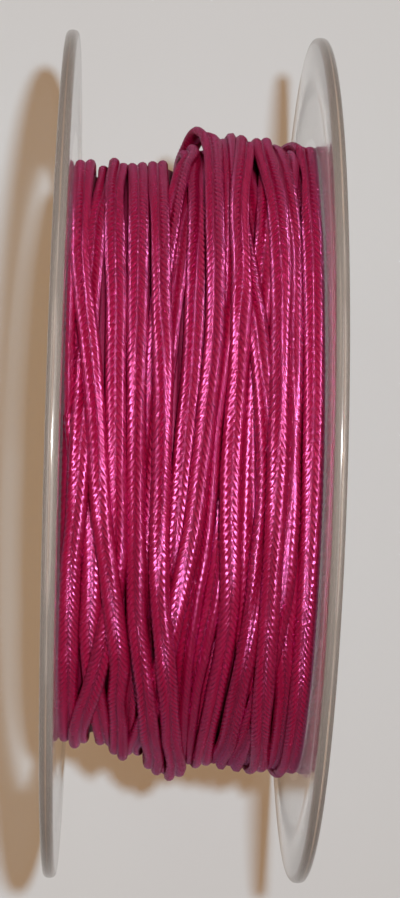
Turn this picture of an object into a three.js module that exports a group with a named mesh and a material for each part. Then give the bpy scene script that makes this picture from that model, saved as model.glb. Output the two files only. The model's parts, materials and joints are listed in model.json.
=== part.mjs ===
// Reel of soutache braid: a clear plastic reel with two round flanges, standing on their rims,
// wound with a narrow two-ribbed braid whose last turns slant and cross each other.
//
// Frame, in millimetres: X runs along the reel's axis, Z is up and the rims stand on Z = 0.
// The origin is on the floor, midway between the flanges and straight below the axis.

import * as THREE from "three";

// Reel
const FLANGE_RADIUS = 55;
const RIM_THICKNESS = 1.6; // the raised band at the edge of each flange
const RIM_BAND_WIDTH = 5.5; // about a tenth of the radius
const WEB_THICKNESS = 1.2; // the thinner disc inside that band
const RECESS = (RIM_THICKNESS - WEB_THICKNESS) / 2; // how much lower the disc's faces lie
const RIM_CHAMFER = 0.3;
const INSIDE_WIDTH = 30.1; // between the faces of the two bands
const BORE_RADIUS = 21.4; // the plain hole that a peg goes through
const HUB_WALL = 1.6;
const PIECE_GAP = 0.3; // between pieces that meet
const REEL_FACETS = 72; // flats around a flange
const HUB_FACETS = 48;

// Braid
const RIB_RADIUS = 0.66; // two such ribs side by side make a braid 2.6 mm wide
const RIB_OFFSET = 0.65; // from the braid's middle groove to the middle of a rib
const SQUASHED = 0.72; // ribs press into each other: the share of their width that keeps them apart
const STEEPEST_ROLL = 0.7; // how far one rib may stand above the other, as a share of their spacing
const TENSION_DEGREES = 5; // how far ahead of a crossing the braid begins to climb
const TENSION_PASSES = 3;
const SOFTENING_DEGREES = 4; // how far the crossings' edges are evened out

// The even turns below, which the last turns lie on: wound fuller at the right-hand flange.
const BED_RADIUS_AT_LEFT = 36.05;
const BED_RISE = 0.12; // in radius, for each millimetre to the right

// Winding solid
const AROUND_STEPS = 96;
const ACROSS_STEPS = 57;

// The last turns, first laid to last laid. Each row holds [angle, place, lift] points from the far side
// of the crown to the near side: the angle in degrees from the crown, the place of the middle groove in
// millimetres from the left flange, and how far the braid is lifted off what it lies on, if at all.
const TURNS = [
  { name: "crosses from right", route: [[75, 27.2], [45, 25.6], [30, 24.3], [15, 22.9], [3, 21.9],
    [-5, 21.2], [-20, 19.9], [-45, 18.0], [-75, 17.0]] },
  { name: "drifts to right", route: [[75, 20.9], [60, 21.4], [45, 22.0], [32, 22.6], [20, 23.4],
    [5, 24.8], [-10, 26.1], [-22, 26.8], [-32, 26.7], [-45, 27.3], [-75, 27.5]] },
  { name: "low on right", route: [[75, 24.5], [45, 23.4], [15, 22.3], [0, 22.0], [-18, 21.9],
    [-45, 22.6], [-75, 24.0]] },
  { name: "near right, going left", route: [[75, 25.2], [60, 25.75], [45, 26.3], [25, 26.4],
    [0, 26.35], [-12, 26.4], [-22, 26.15], [-40, 24.7], [-54, 23.4], [-75, 22.4]] },
  { name: "bowed on right", route: [[75, 19.8], [45, 20.4], [30, 21.4], [18, 22.5], [7, 23.2],
    [-5, 23.55], [-15, 23.25], [-30, 22.6], [-45, 21.65], [-60, 20.95], [-75, 20.3]] },
  { name: "low right of middle", route: [[75, 19.9], [45, 19.4], [15, 18.7], [0, 18.4],
    [-13, 18.55], [-24, 18.05], [-36, 16.95], [-45, 16.25], [-60, 15.9], [-75, 16.0]] },
  { name: "under the slanting pair", route: [[75, 15.2], [55, 14.3], [45, 13.5], [34, 12.8],
    [22, 12.1], [0, 11.0], [-20, 11.3], [-45, 12.6], [-75, 13.6]] },
  { name: "beside the loop", route: [[82, 19.4], [60, 19.2], [45, 19.1], [30, 18.9], [22, 18.5],
    [12, 17.75], [5, 17.3], [-5, 17.05], [-15, 16.6], [-25, 15.8], [-40, 15.0], [-75, 14.9]] },
  { name: "right of middle", route: [[82, 22.1], [75, 21.6], [60, 20.9], [50, 20.3], [42, 20.1],
    [27, 20.35], [15, 20.15], [0, 19.6], [-8, 19.6], [-24, 19.95], [-35, 19.65], [-45, 19.05],
    [-60, 18.4], [-75, 18.2]] },
  { name: "second from right", route: [[75, 23.7], [60, 24.2], [48, 24.8], [35, 24.95],
    [15, 24.75], [-5, 24.8], [-26, 24.65], [-48, 24.65], [-60, 24.95], [-75, 25.4]] },
  { name: "against right flange", route: [[75, 28.98], [45, 28.95], [25, 28.9], [0, 28.95],
    [-45, 28.98], [-75, 28.98]] },
  { name: "middle, going under", route: [[75, 15.9], [60, 15.45], [45, 15.25], [30, 15.1],
    [15, 14.8], [5, 14.3], [-6, 13.8], [-20, 13.15], [-45, 12.6], [-75, 12.4]] },
  { name: "slanting", route: [[75, 14.6], [65, 13.6], [55, 12.7], [48, 12.2], [35, 11.3],
    [15, 10.4], [0, 10.0], [-20, 9.5], [-40, 8.95], [-75, 8.6]] },
  { name: "lifted loop", route: [[115, 14.0], [104, 14.2, 0.2], [97, 14.9, 0.7], [91, 15.6, 1.3],
    [86, 16.2, 1.5], [82, 16.8, 1.2], [77, 17.2, 0.5], [70, 17.35, 0.1], [60, 17.35], [45, 17.3],
    [30, 17.4], [20, 17.3], [9, 16.7], [0, 16.2], [-11, 15.45], [-21, 14.4], [-30, 13.4],
    [-45, 11.9], [-60, 10.4], [-75, 9.3]] },
  { name: "left of middle", route: [[75, 10.5], [60, 10.6], [45, 10.85], [30, 11.05], [15, 11.4],
    [0, 11.5], [-14, 11.55], [-24, 11.85], [-34, 12.6], [-44, 13.25], [-59, 14.0], [-75, 14.9]] },
  { name: "third from left", route: [[75, 8.0], [45, 8.2], [30, 8.3], [15, 8.45], [0, 8.6],
    [-15, 8.9], [-29, 9.25], [-44, 10.5], [-59, 11.35], [-75, 12.1]] },
  { name: "low against left flange", route: [[75, 1.15], [45, 0.8], [30, 0.65], [17, 0.7],
    [7, 1.3], [0, 1.9], [-7, 2.8], [-14, 3.65], [-25, 3.8], [-34, 3.7], [-45, 4.1], [-60, 5.1],
    [-75, 5.7]] },
  { name: "going under on left", route: [[75, 4.2], [60, 3.75], [50, 3.05], [40, 2.85],
    [20, 2.5], [9, 2.2], [-10, 1.85], [-20, 1.4], [-40, 1.15], [-75, 1.15]] },
  { name: "second from left", route: [[75, 5.4], [60, 5.1], [45, 5.35], [30, 5.75], [15, 5.95],
    [0, 6.3], [-15, 6.75], [-25, 6.4], [-36, 5.4], [-45, 4.45], [-60, 2.85], [-75, 2.4]] },
  { name: "last, against left flange", route: [[75, 1.2], [50, 1.15], [40, 1.2], [30, 1.8],
    [20, 2.75], [10, 3.5], [0, 4.1], [-10, 4.75], [-20, 5.7], [-30, 6.6], [-40, 7.3],
    [-50, 7.2], [-60, 7.45], [-75, 7.6]] },
];

const FACET_HALF_ANGLE = Math.PI / REEL_FACETS;
// Each rim stands on a small flat, two facets wide.
const AXIS_HEIGHT = FLANGE_RADIUS * Math.cos(2 * FACET_HALF_ANGLE);
const INSIDE_LEFT = -INSIDE_WIDTH / 2;
const HALF_TURN = 180;
const STATIONS = 180;
const STATION_DEGREES = 360 / STATIONS;

const clearPlastic = () => new THREE.MeshStandardMaterial({
  color: 0xe6e4e0,
  roughness: 0.08,
  metalness: 0,
  transparent: true,
  opacity: 0.3,
});

const silkyBraid = () => new THREE.MeshStandardMaterial({
  color: 0x96123c,
  roughness: 0.45,
  metalness: 0,
});

// A solid of revolution about the X axis from a closed profile of [radius, x] corners.
function turned(profile, facets) {
  const corners = [...profile, profile[0]].map(([radius, x]) => new THREE.Vector2(radius, x));
  const solid = new THREE.LatheGeometry(corners, facets);
  solid.rotateZ(-Math.PI / 2);
  return solid;
}

// One flange, with its outer face towards -X: a thin disc with a thicker band at its rim.
function flangeGeometry() {
  const bandRadius = FLANGE_RADIUS - RIM_BAND_WIDTH;
  const edgeRadius = FLANGE_RADIUS - RIM_CHAMFER;
  const inner = RIM_THICKNESS;
  const solid = turned([
    [BORE_RADIUS, RECESS],
    [bandRadius - RECESS, RECESS],
    [bandRadius, 0],
    [edgeRadius, 0],
    [FLANGE_RADIUS, RIM_CHAMFER],
    [FLANGE_RADIUS, inner - RIM_CHAMFER],
    [edgeRadius, inner],
    [bandRadius, inner],
    [bandRadius - RECESS, inner - RECESS],
    [BORE_RADIUS, inner - RECESS],
  ], REEL_FACETS);
  pressFlat(solid);
  return solid;
}

// Presses the lowest corners of a disc on the axis up to the small flat it stands on.
function pressFlat(solid) {
  const corners = solid.getAttribute("position");
  for (let i = 0; i < corners.count; i += 1) {
    corners.setZ(i, Math.max(corners.getZ(i), -AXIS_HEIGHT));
  }
}

function hubGeometry() {
  const length = INSIDE_WIDTH - 2 * PIECE_GAP;
  return turned([
    [BORE_RADIUS, -length / 2],
    [BORE_RADIUS + HUB_WALL, -length / 2],
    [BORE_RADIUS + HUB_WALL, length / 2],
    [BORE_RADIUS, length / 2],
  ], HUB_FACETS);
}

// The radius of the even turns below, at a place across the reel.
function bedRadius(across) {
  return BED_RADIUS_AT_LEFT + BED_RISE * across;
}

// A value on a route at an angle, by a smooth step between its nearest two points.
function along(points, degrees, column) {
  const value = (point) => point[column] ?? 0;
  const after = points.findIndex((point) => point[0] >= degrees);
  if (after <= 0) {
    return value(after === 0 ? points[0] : points[points.length - 1]);
  }
  const [low, high] = [points[after - 1], points[after]];
  const share = (degrees - low[0]) / (high[0] - low[0]);
  const slopeAt = (i) => {
    const before = points[Math.max(i - 1, 0)];
    const next = points[Math.min(i + 1, points.length - 1)];
    return (value(next) - value(before)) / (next[0] - before[0]);
  };
  const span = high[0] - low[0];
  const start = slopeAt(after - 1) * span;
  const end = slopeAt(after) * span;
  const square = share * share;
  const cube = square * share;
  return value(low) * (2 * cube - 3 * square + 1) + start * (cube - 2 * square + share)
    + value(high) * (3 * square - 2 * cube) + end * (cube - square);
}

// Joins the turns into one length: behind the reel each runs on into the next.
function joinedRoutes() {
  const rising = TURNS.map((turn) => [...turn.route].reverse());
  return rising.map((route, i) => {
    const first = route[0][1];
    const last = route[route.length - 1][1];
    const before = i > 0 ? rising[i - 1][rising[i - 1].length - 1][1] : first;
    const after = i + 1 < rising.length ? rising[i + 1][0][1] : last;
    return [
      [-HALF_TURN, (before + first) / 2],
      ...route,
      [HALF_TURN, (last + after) / 2],
    ];
  });
}

// The two ribs of a braid whose middle groove is at a place across the reel. Close to a flange
// the braid turns up on its edge, so that both ribs stay inside it.
function ribPlaces(across) {
  const nearest = Math.min(across, INSIDE_WIDTH - across) + RECESS - RIB_RADIUS;
  const spread = Math.max(Math.min(nearest, RIB_OFFSET), 0);
  return [across - spread, across + spread];
}

// How high a rib's middle lies at a place, resting on the bed and on the ribs laid before it.
function restingRadius(across, laid) {
  const onRibs = laid.map(([place, radius]) => {
    const reach = (2 * SQUASHED * RIB_RADIUS) ** 2 - (across - place) ** 2;
    return reach > 0 ? radius + Math.sqrt(reach) : 0;
  });
  return Math.max(bedRadius(across) + RIB_RADIUS, ...onRibs);
}

// Evens out a ring of radii.
function smoothed(radii, degrees) {
  const reach = Math.round((2 * degrees) / STATION_DEGREES);
  const weights = Array.from({ length: 2 * reach + 1 }, (_, i) => {
    const away = ((i - reach) * STATION_DEGREES) / degrees;
    return Math.exp(-away * away);
  });
  const whole = weights.reduce((sum, weight) => sum + weight, 0);
  return radii.map((_, i) => weights.reduce((sum, weight, k) => {
    const at = (i + k - reach + STATIONS) % STATIONS;
    return sum + weight * radii[at];
  }, 0) / whole);
}

// Eases a turn over its crossings: it climbs ahead of them and sinks into them only a little.
function underTension(resting) {
  let eased = resting;
  for (let pass = 0; pass < TENSION_PASSES; pass += 1) {
    const smooth = smoothed(eased, TENSION_DEGREES);
    eased = resting.map((radius, i) => Math.max(radius, smooth[i]));
  }
  return smoothed(eased, SOFTENING_DEGREES);
}

// Lays every turn in order. The result holds, for each station around the reel, the place and
// the radius of every rib's middle.
function layTurns() {
  const laid = Array.from({ length: STATIONS }, () => []);
  for (const route of joinedRoutes()) {
    const angles = laid.map((_, i) => i * STATION_DEGREES - HALF_TURN);
    const ribs = angles.map((degrees) => ribPlaces(along(route, degrees, 1)));
    const raw = [0, 1].map((side) => ribs.map((pair, i) => restingRadius(pair[side], laid[i])));
    const steepest = STEEPEST_ROLL * 2 * RIB_OFFSET;
    const level = [0, 1].map((side) => raw[side].map(
      (radius, i) => Math.max(radius, raw[1 - side][i] - steepest),
    ));
    const eased = level.map(underTension);
    angles.forEach((degrees, i) => {
      const lift = Math.max(along(route, degrees, 2), 0);
      ribs[i].forEach((place, side) => laid[i].push([place, eased[side][i] + lift]));
    });
  }
  return laid;
}

// The outer radius of the winding at a station and a place across the reel. Each turn is a flat
// band with round edges here, because its groove is finer than this solid's rows.
function outerRadius(ribs, across) {
  let outer = bedRadius(across);
  for (let i = 0; i < ribs.length; i += 2) {
    const [[left, leftRadius], [right, rightRadius]] = [ribs[i], ribs[i + 1]];
    const share = right > left ? Math.min(Math.max((across - left) / (right - left), 0), 1) : 0.5;
    const beyond = Math.max(left - across, across - right, 0);
    if (beyond < RIB_RADIUS) {
      const middle = leftRadius + share * (rightRadius - leftRadius);
      outer = Math.max(outer, middle + Math.sqrt(RIB_RADIUS ** 2 - beyond ** 2));
    }
  }
  return outer;
}

// The wound braid as one ring, with its last turns raised in its outer face.
function windingGeometry() {
  const laid = layTurns();
  const width = INSIDE_WIDTH - 2 * PIECE_GAP;
  const innerRadius = BORE_RADIUS + HUB_WALL + PIECE_GAP;
  const rows = ACROSS_STEPS + 1 + 2; // the outer face's rows, then the two edges of the inner face
  const corners = [];
  for (let i = 0; i < AROUND_STEPS; i += 1) {
    const turn = i / AROUND_STEPS;
    const angle = turn * 2 * Math.PI - Math.PI;
    const ribs = laid[Math.round(turn * STATIONS) % STATIONS];
    const put = (across, radius) => corners.push(
      INSIDE_LEFT + across,
      radius * Math.sin(angle),
      radius * Math.cos(angle),
    );
    for (let j = 0; j <= ACROSS_STEPS; j += 1) {
      const across = PIECE_GAP + (width * j) / ACROSS_STEPS;
      put(across, outerRadius(ribs, across));
    }
    put(PIECE_GAP + width, innerRadius);
    put(PIECE_GAP, innerRadius);
  }
  const faces = [];
  for (let i = 0; i < AROUND_STEPS; i += 1) {
    const here = i * rows;
    const next = ((i + 1) % AROUND_STEPS) * rows;
    for (let j = 0; j < rows; j += 1) {
      const k = (j + 1) % rows;
      faces.push(here + j, here + k, next + k);
      faces.push(here + j, next + k, next + j);
    }
  }
  const solid = new THREE.BufferGeometry();
  solid.setAttribute("position", new THREE.Float32BufferAttribute(corners, 3));
  solid.setIndex(faces);
  solid.computeVertexNormals();
  return solid;
}

function piece(name, geometry, material) {
  const mesh = new THREE.Mesh(geometry, material);
  mesh.name = name;
  return mesh;
}

const reel = new THREE.Group();
reel.position.z = AXIS_HEIGHT;

const flangeLeft = piece("flange_left", flangeGeometry(), clearPlastic());
flangeLeft.position.x = INSIDE_LEFT - RIM_THICKNESS;

const flangeRight = piece("flange_right", flangeGeometry(), clearPlastic());
flangeRight.position.x = -INSIDE_LEFT;

const hub = piece("hub", hubGeometry(), clearPlastic());
const braid = piece("braid_winding", windingGeometry(), silkyBraid());

reel.add(flangeLeft, flangeRight, hub, braid);

const part = new THREE.Group();
part.add(reel);

export default part;
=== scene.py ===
"""Looks of a clear plastic reel wound with magenta soutache braid, standing on its two rims.

The braid is built as it is made: two round ribs side by side, each wrapped by slanting yarns that meet
in a middle groove. Its last turns are laid one after another along the routes that the photo shows, and
each rests on the turns below it. Lengths are in millimetres until a mesh is made.
"""

from __future__ import annotations

import json
import logging
import math
from collections.abc import Iterable, Sequence
from dataclasses import dataclass, field
from enum import Enum
from typing import Any

import bpy
import numpy as np
from mathutils import Matrix, Vector
from numpy.typing import NDArray

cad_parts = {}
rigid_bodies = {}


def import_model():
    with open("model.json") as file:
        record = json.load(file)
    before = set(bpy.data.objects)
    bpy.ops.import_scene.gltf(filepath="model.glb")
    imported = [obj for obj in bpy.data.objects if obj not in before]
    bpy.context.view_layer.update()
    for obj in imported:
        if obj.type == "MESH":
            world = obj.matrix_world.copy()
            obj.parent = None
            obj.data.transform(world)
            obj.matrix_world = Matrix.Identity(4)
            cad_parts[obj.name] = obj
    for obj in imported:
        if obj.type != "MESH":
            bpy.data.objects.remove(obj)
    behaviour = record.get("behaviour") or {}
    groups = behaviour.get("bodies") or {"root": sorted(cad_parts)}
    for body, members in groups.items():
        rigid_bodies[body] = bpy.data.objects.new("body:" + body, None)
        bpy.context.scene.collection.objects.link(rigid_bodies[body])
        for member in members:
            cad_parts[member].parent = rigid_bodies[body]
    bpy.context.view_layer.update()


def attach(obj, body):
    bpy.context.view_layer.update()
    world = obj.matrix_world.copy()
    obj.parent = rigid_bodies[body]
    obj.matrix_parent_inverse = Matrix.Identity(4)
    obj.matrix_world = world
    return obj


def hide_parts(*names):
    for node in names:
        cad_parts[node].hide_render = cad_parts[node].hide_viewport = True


LOG = logging.getLogger("soutache_reel")

Array = NDArray[np.float64]
Socket = bpy.types.NodeSocket

MM = 0.001
BODY = "root"

STATION_DEGREES = 1.0
STATIONS = 360
HALF_TURN = 180.0


class Slot(str, Enum):
    """The record's material slots."""

    PLASTIC = "clear_plastic"
    BRAID = "silky_braid"


@dataclass(frozen=True)
class ReelSize:
    """The moulded reel, in millimetres."""

    flange_radius: float = 55.0
    rim_thickness: float = 1.6
    rim_band: float = 5.5
    web_thickness: float = 1.2
    inside_width: float = 30.1
    bore_radius: float = 21.4
    hub_wall: float = 1.6
    piece_gap: float = 0.3
    axis_height: float = 55.0 * math.cos(math.radians(5.0))
    facets: int = 288

    @property
    def recess(self) -> float:
        """How much lower the thinner disc's faces lie than the band's."""
        return (self.rim_thickness - self.web_thickness) / 2

    @property
    def winding_radius(self) -> float:
        """Where the first turns lie on the hub."""
        return self.bore_radius + self.hub_wall + self.piece_gap

    @property
    def inside_left(self) -> float:
        """Where the left flange's inner face is, along X."""
        return -self.inside_width / 2


@dataclass(frozen=True)
class BraidSize:
    """The two-ribbed braid, in millimetres."""

    rib_radius: float = 0.66
    rib_offset: float = 0.65
    groove: float = 0.28
    pitch: float = 0.94
    yarn_angle: float = 42.0
    relief: float = 0.33

    @property
    def lean(self) -> float:
        """How far a yarn runs along the braid for each millimetre across it."""
        return 1 / math.tan(math.radians(self.yarn_angle))


@dataclass(frozen=True)
class Detail:
    """How finely a length of braid is meshed."""

    rows_per_pitch: int
    profile_points: int
    crowding: float


@dataclass(frozen=True)
class EvenLayers:
    """How the layers below the last turns are wound, in millimetres and degrees.

    Each of the wanders is how far a turn strays and how often it does so in a turn. The layers are
    spread evenly from the hub up, no closer than the least layer height.
    """

    turns: float = 11.5
    step: float = 3.0
    from_flange: float = 1.2
    wanders: tuple[tuple[float, float], ...] = ((0.12, 0.731), (0.08, 2.3))
    least_layer_height: float = 1.16
    layer_wander: float = 0.1
    layer_waves: tuple[int, int] = (2, 6)
    layer_tones: tuple[float, float] = (0.2, 0.8)
    tones: tuple[float, float] = (0.2, 0.7)
    tone_every: int = 60


@dataclass(frozen=True)
class Turn:
    """One of the last turns.

    Its route holds (angle, place) or (angle, place, lift) points, from the far side of the crown to the
    near side: the angle in degrees from the crown, the place of the middle groove in millimetres from
    the left flange, and how far the braid is lifted off what it lies on.
    """

    name: str
    route: tuple[tuple[float, ...], ...]


REEL = ReelSize()
BRAID = BraidSize()
EVEN = EvenLayers()

FINE = Detail(rows_per_pitch=4, profile_points=18, crowding=0.35)
PLAIN = Detail(rows_per_pitch=3, profile_points=12, crowding=0.3)
COARSE = Detail(rows_per_pitch=2, profile_points=10, crowding=0.2)
THROUGH_PLASTIC = Detail(rows_per_pitch=2, profile_points=8, crowding=0.2)

# The even turns that the last ones lie on: their outer radius, and how it grows for each millimetre
# to the right.
BED_RADIUS_AT_LEFT = 36.05
BED_RISE = 0.12

# How the last turns settle: the share of their width that keeps two ribs apart, how far one rib may
# stand above the other as a share of their spacing, how close they come to a flange, how far ahead
# of a crossing a turn begins to climb, and how far its bends and the joins behind the reel are evened
# out.
SQUASHED = 0.72
STEEPEST_ROLL = 0.7
FLANGE_CLEARANCE = 0.05
TENSION_DEGREES = 5.0
TENSION_PASSES = 3
SOFTENING_DEGREES = 4.0
JOIN_DEGREES = 20.0

# The last turns, first laid to last laid.
TURNS = (
    Turn("crosses from right", (
        (75, 27.2), (45, 25.6), (30, 24.3), (15, 22.9), (3, 21.9), (-5, 21.2), (-20, 19.9),
        (-45, 18.0), (-75, 17.0))),
    Turn("drifts to right", (
        (75, 20.9), (60, 21.4), (45, 22.0), (32, 22.6), (20, 23.4), (5, 24.8), (-10, 26.1),
        (-22, 26.8), (-32, 26.7), (-45, 27.3), (-75, 27.5))),
    Turn("low on right", (
        (75, 24.5), (45, 23.4), (15, 22.3), (0, 22.0), (-18, 21.9), (-45, 22.6), (-75, 24.0))),
    Turn("near right, going left", (
        (75, 25.2), (60, 25.75), (45, 26.3), (25, 26.4), (0, 26.35), (-12, 26.4), (-22, 26.15),
        (-40, 24.7), (-54, 23.4), (-75, 22.4))),
    Turn("bowed on right", (
        (75, 19.8), (45, 20.4), (30, 21.4), (18, 22.5), (7, 23.2), (-5, 23.55), (-15, 23.25),
        (-30, 22.6), (-45, 21.65), (-60, 20.95), (-75, 20.3))),
    Turn("low right of middle", (
        (75, 19.9), (45, 19.4), (15, 18.7), (0, 18.4), (-13, 18.55), (-24, 18.05), (-36, 16.95),
        (-45, 16.25), (-60, 15.9), (-75, 16.0))),
    Turn("under the slanting pair", (
        (75, 15.2), (55, 14.3), (45, 13.5), (34, 12.8), (22, 12.1), (0, 11.0), (-20, 11.3),
        (-45, 12.6), (-75, 13.6))),
    Turn("beside the loop", (
        (82, 19.4), (60, 19.2), (45, 19.1), (30, 18.9), (22, 18.5), (12, 17.75), (5, 17.3),
        (-5, 17.05), (-15, 16.6), (-25, 15.8), (-40, 15.0), (-75, 14.9))),
    Turn("right of middle", (
        (82, 22.1), (75, 21.6), (60, 20.9), (50, 20.3), (42, 20.1), (27, 20.35), (15, 20.15),
        (0, 19.6), (-8, 19.6), (-24, 19.95), (-35, 19.65), (-45, 19.05), (-60, 18.4), (-75, 18.2))),
    Turn("second from right", (
        (75, 23.7), (60, 24.2), (48, 24.8), (35, 24.95), (15, 24.75), (-5, 24.8), (-26, 24.65),
        (-48, 24.65), (-60, 24.95), (-75, 25.4))),
    Turn("against right flange", (
        (75, 28.98), (45, 28.95), (25, 28.9), (0, 28.95), (-45, 28.98), (-75, 28.98))),
    Turn("middle, going under", (
        (75, 15.9), (60, 15.45), (45, 15.25), (30, 15.1), (15, 14.8), (5, 14.3), (-6, 13.8),
        (-20, 13.15), (-45, 12.6), (-75, 12.4))),
    Turn("slanting", (
        (75, 14.6), (65, 13.6), (55, 12.7), (48, 12.2), (35, 11.3), (15, 10.4), (0, 10.0),
        (-20, 9.5), (-40, 8.95), (-75, 8.6))),
    Turn("lifted loop", (
        (115, 14.0), (104, 14.2, 0.2), (97, 14.9, 0.7), (91, 15.6, 1.3), (86, 16.2, 1.5),
        (82, 16.8, 1.2), (77, 17.2, 0.5), (70, 17.35, 0.1), (60, 17.35), (45, 17.3), (30, 17.4),
        (20, 17.3), (9, 16.7), (0, 16.2), (-11, 15.45), (-21, 14.4), (-30, 13.4), (-45, 11.9),
        (-60, 10.4), (-75, 9.3))),
    Turn("left of middle", (
        (75, 10.5), (60, 10.6), (45, 10.85), (30, 11.05), (15, 11.4), (0, 11.5), (-14, 11.55),
        (-24, 11.85), (-34, 12.6), (-44, 13.25), (-59, 14.0), (-75, 14.9))),
    Turn("third from left", (
        (75, 8.0), (45, 8.2), (30, 8.3), (15, 8.45), (0, 8.6), (-15, 8.9), (-29, 9.25), (-44, 10.5),
        (-59, 11.35), (-75, 12.1))),
    Turn("low against left flange", (
        (75, 1.15), (45, 0.8), (30, 0.65), (17, 0.7), (7, 1.3), (0, 1.9), (-7, 2.8), (-14, 3.65),
        (-25, 3.8), (-34, 3.7), (-45, 4.1), (-60, 5.1), (-75, 5.7))),
    Turn("going under on left", (
        (75, 4.2), (60, 3.75), (50, 3.05), (40, 2.85), (20, 2.5), (9, 2.2), (-10, 1.85),
        (-20, 1.4), (-40, 1.15), (-75, 1.15))),
    Turn("second from left", (
        (75, 5.4), (60, 5.1), (45, 5.35), (30, 5.75), (15, 5.95), (0, 6.3), (-15, 6.75), (-25, 6.4),
        (-36, 5.4), (-45, 4.45), (-60, 2.85), (-75, 2.4))),
    Turn("last, against left flange", (
        (75, 1.2), (50, 1.15), (40, 1.2), (30, 1.8), (20, 2.75), (10, 3.5), (0, 4.1), (-10, 4.75),
        (-20, 5.7), (-30, 6.6), (-40, 7.3), (-50, 7.2), (-60, 7.45), (-75, 7.6))),
)


@dataclass
class Path3D:
    """A line that braid follows.

    Attributes:
        points: one row for each point, in millimetres in the row frame.
        outward: the way the braid's face looks, at each point.
        tone: how light this length of braid is, from 0 to 1, at each point.
        closed: whether the last point joins the first.
    """

    points: Array
    outward: Array
    tone: Array
    closed: bool = False


@dataclass
class LaidTurn:
    """One turn in its place: for each station, where its middle is and how far it is rolled."""

    angles: Array
    across: Array
    radius: Array
    roll: Array


class Winding:
    """The last turns of braid, laid in order on the even turns below them."""

    def __init__(self, reel: ReelSize, braid: BraidSize, turns: Sequence[Turn]) -> None:
        self.reel = reel
        self.braid = braid
        self.names = [turn.name for turn in turns]
        self.routes = self._joined([tuple(reversed(turn.route)) for turn in turns])
        self.angles = np.arange(STATIONS + 1) * STATION_DEGREES - HALF_TURN
        self.ribs: list[tuple[Array, Array]] = []

    @staticmethod
    def bed_radius(across: Array | float) -> Any:
        """The outer radius of the even turns below, at a place across the reel."""
        return BED_RADIUS_AT_LEFT + BED_RISE * across

    @staticmethod
    def _joined(routes: list[tuple[tuple[float, ...], ...]]) -> list[Array]:
        """Joins the turns into one length: behind the reel each runs on into the next."""
        joined = []
        for i, route in enumerate(routes):
            first, last = route[0][1], route[-1][1]
            before = routes[i - 1][-1][1] if i else first
            after = routes[i + 1][0][1] if i + 1 < len(routes) else last
            points = [(-HALF_TURN, (before + first) / 2), *route, (HALF_TURN, (last + after) / 2)]
            joined.append(np.array([(*p, 0.0)[:3] for p in points]))
        return joined

    @staticmethod
    def _along(points: Array, angles: Array, column: int) -> Array:
        """A route's value at each angle, by a smooth curve through its points."""
        x, y = points[:, 0], points[:, column]
        slopes = np.gradient(y, np.arange(len(x))) / np.gradient(x, np.arange(len(x)))
        after = np.clip(np.searchsorted(x, angles), 1, len(x) - 1)
        before = after - 1
        span = x[after] - x[before]
        s = np.clip((angles - x[before]) / span, 0, 1)
        return (
            y[before] * (2 * s**3 - 3 * s**2 + 1)
            + slopes[before] * span * (s**3 - 2 * s**2 + s)
            + y[after] * (3 * s**2 - 2 * s**3)
            + slopes[after] * span * (s**3 - s**2)
        )

    def _resting(self, across: Array) -> Array:
        """How high a rib's middle lies on the bed and on the ribs laid before it."""
        height = self.bed_radius(across) + self.braid.rib_radius
        for place, radius in self.ribs:
            reach = np.maximum((2 * SQUASHED * self.braid.rib_radius) ** 2 - (across - place) ** 2, 0)
            height = np.maximum(height, np.where(reach > 0, radius + np.sqrt(reach), 0))
        return height

    @staticmethod
    def _smoothed(values: Array, degrees: float) -> Array:
        """Evens out a line of values."""
        reach = int(2 * degrees / STATION_DEGREES)
        away = np.arange(-reach, reach + 1) * STATION_DEGREES / degrees
        weights = np.exp(-(away**2))
        return np.convolve(np.pad(values, reach, mode="edge"), weights / weights.sum(), mode="valid")

    def _under_tension(self, resting: Array) -> Array:
        """Eases a turn over its crossings. It sinks into what it rests on only a little."""
        eased = resting
        for _ in range(TENSION_PASSES):
            eased = np.maximum(resting, self._smoothed(eased, TENSION_DEGREES))
        return self._smoothed(eased, SOFTENING_DEGREES)

    def _lay(self, route: Array) -> LaidTurn:
        """Lays one turn on all those before it."""
        across = self._along(route, self.angles, 1)
        lift = np.maximum(self._along(route, self.angles, 2), 0)
        offset, rib = self.braid.rib_offset, self.braid.rib_radius
        from_right = self.reel.inside_width - across
        nearest = np.minimum(across, from_right) + self.reel.recess
        spread = np.clip(nearest - rib - FLANGE_CLEARANCE, 0, offset)
        left, right = across - spread, across + spread
        raw_left, raw_right = self._resting(left), self._resting(right)
        steepest = STEEPEST_ROLL * 2 * offset
        low = self._under_tension(np.maximum(raw_left, raw_right - steepest)) + lift
        high = self._under_tension(np.maximum(raw_right, raw_left - steepest)) + lift
        # Squeezed against a flange, the braid turns up on its edge.
        edge = 2 * np.sqrt(np.maximum(offset**2 - spread**2, 0))
        low = low + np.where(across < from_right, edge, 0)
        high = high + np.where(across < from_right, 0, edge)
        self.ribs += [(left, low), (right, high)]
        return LaidTurn(
            angles=self.angles,
            across=across,
            radius=(low + high) / 2,
            roll=np.arctan2(high - low, np.maximum(right - left, 1e-6)),
        )

    def laid(self) -> list[LaidTurn]:
        """All the turns, with each one's ends brought level where it runs on into the next."""
        turns = [self._lay(route) for route in self.routes]
        LOG.info("laid %d turns, the last of them %r", len(turns), self.names[-1])
        for turn, following in zip(turns, turns[1:]):
            level = max(turn.radius[-1], following.radius[0])
            ends = ((turn, HALF_TURN - turn.angles, -1), (following, following.angles + HALF_TURN, 0))
            for piece, away, end in ends:
                weight = np.exp(-((away / JOIN_DEGREES) ** 2))
                piece.radius = piece.radius + (level - piece.radius[end]) * weight
                piece.roll = piece.roll * (1 - weight)
        return turns


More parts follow.
